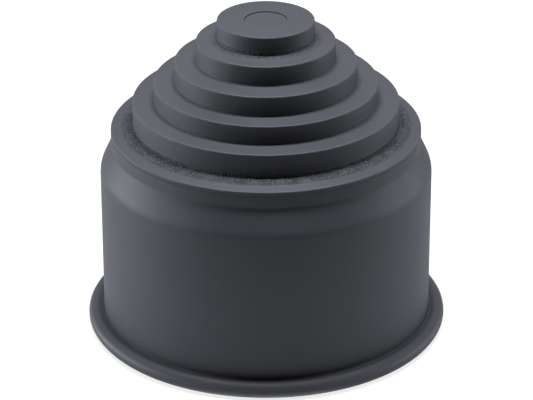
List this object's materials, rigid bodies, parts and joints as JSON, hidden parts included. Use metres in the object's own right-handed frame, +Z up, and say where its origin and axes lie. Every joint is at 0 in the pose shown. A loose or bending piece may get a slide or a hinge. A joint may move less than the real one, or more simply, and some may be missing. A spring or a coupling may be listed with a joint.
{
  "type": "portable mini washer",
  "caption": "Small floating wash pod: stepped round hood with a flush button, plain drum wall, rolled base rim, and an impeller behind a grille underneath.",
  "frame": {"origin": "centre of the base rim's flat underside, where the washer stands", "axes": "+Z up along the drum's axis, -Y to the front, +X to the right seen from the front"},
  "size_m": [0.1314, 0.1314, 0.1178],
  "materials": {
    "casing": "moulded, fine matt",
    "rim": "moulded, matt",
    "seal": "smooth",
    "inner_plastic": "moulded",
    "impeller": "moulded, satin",
    "nylon": "natural nylon",
    "steel": "plated",
    "bronze": "sintered",
    "copper": "enamelled wire and copper segments",
    "magnet": "ferrite, matt",
    "cell_wrap": "shrink sleeve over a metal can",
    "board": "solder mask",
    "component": "moulded",
    "red_wire": "insulation",
    "black_wire": "insulation"
  },
  "bodies": {
    "casing": {"base_plate": "inner_plastic", "base_rim": "rim", "base_screw_1": "steel", "base_screw_2": "steel", "base_screw_3": "steel", "base_seal": "seal", "battery_cell_1": "cell_wrap", "battery_cell_2": "cell_wrap", "battery_cell_3": "cell_wrap", "battery_cradle": "inner_plastic", "battery_lead_black": "black_wire", "battery_lead_red": "red_wire", "board_screw_1": "steel", "board_screw_2": "steel", "board_screw_3": "steel", "body_shell": "casing", "capacitor": "component", "case_screw_1": "steel", "case_screw_2": "steel", "case_screw_3": "steel", "case_screw_4": "steel", "charging_socket": "steel", "driver_chip": "component", "lower_bus": "bronze", "lower_bush": "bronze", "main_board": "board", "motor_can": "steel", "motor_end_cap": "component", "motor_lead_black": "black_wire", "motor_lead_red": "red_wire", "motor_magnet": "magnet", "motor_plate": "inner_plastic", "motor_screw_1": "steel", "motor_screw_2": "steel", "plate_screw_1": "steel", "plate_screw_2": "steel", "plate_screw_3": "steel", "plate_screw_4": "steel", "shaft_seal": "seal", "switch_body": "component", "top_plate": "inner_plastic", "upper_bus": "bronze", "upper_bush": "bronze"},
    "hood": {"stepped_hood": "casing", "hood_seal": "seal", "button_clip": "inner_plastic", "button_spring": "steel"},
    "button": {"power_button": "casing"},
    "plunger": {"switch_plunger": "nylon"},
    "guard": {"guard_ring": "casing", "guard_grille": "casing"},
    "impeller": {"impeller": "impeller", "impeller_nut": "steel", "drive_shaft": "steel", "output_gear": "nylon", "gear_clip": "steel"},
    "rotor": {"motor_shaft": "steel", "pinion": "steel", "armature": "copper", "commutator": "copper"}
  },
  "joints": [
    {"name": "hood_lift", "type": "slide", "parent": "casing", "child": "hood", "axis": [0, 0, 1], "range_m": [0, 0.06]},
    {"name": "button_press", "type": "slide", "parent": "hood", "child": "button", "axis": [0, 0, -1], "range_m": [0, 0.0015], "stiffness_N_per_m": 600, "springref_m": -0.001, "deforming": ["button_spring"]},
    {"name": "switch_press", "type": "slide", "parent": "casing", "child": "plunger", "axis": [0, 0, -1], "range_m": [0, 0.0015], "stiffness_N_per_m": 100, "springref_m": -0.001},
    {"name": "guard_twist", "type": "hinge", "parent": "casing", "child": "guard", "pos_m": [0, 0, 0.004], "axis": [0, 0, 1], "range_deg": [0, 30]},
    {"name": "impeller_spin", "type": "hinge", "parent": "casing", "child": "impeller", "pos_m": [0, 0, 0.014], "axis": [0, 0, 1], "continuous": true},
    {"name": "motor_spin", "type": "hinge", "parent": "casing", "child": "rotor", "pos_m": [0, -0.0241, 0.05], "axis": [0, 0, 1], "continuous": true}
  ],
  "couplings": [
    {"joint": "motor_spin", "follows": "impeller_spin", "ratio": -3},
    {"joint": "switch_press", "follows": "button_press", "ratio": 1}
  ]
}
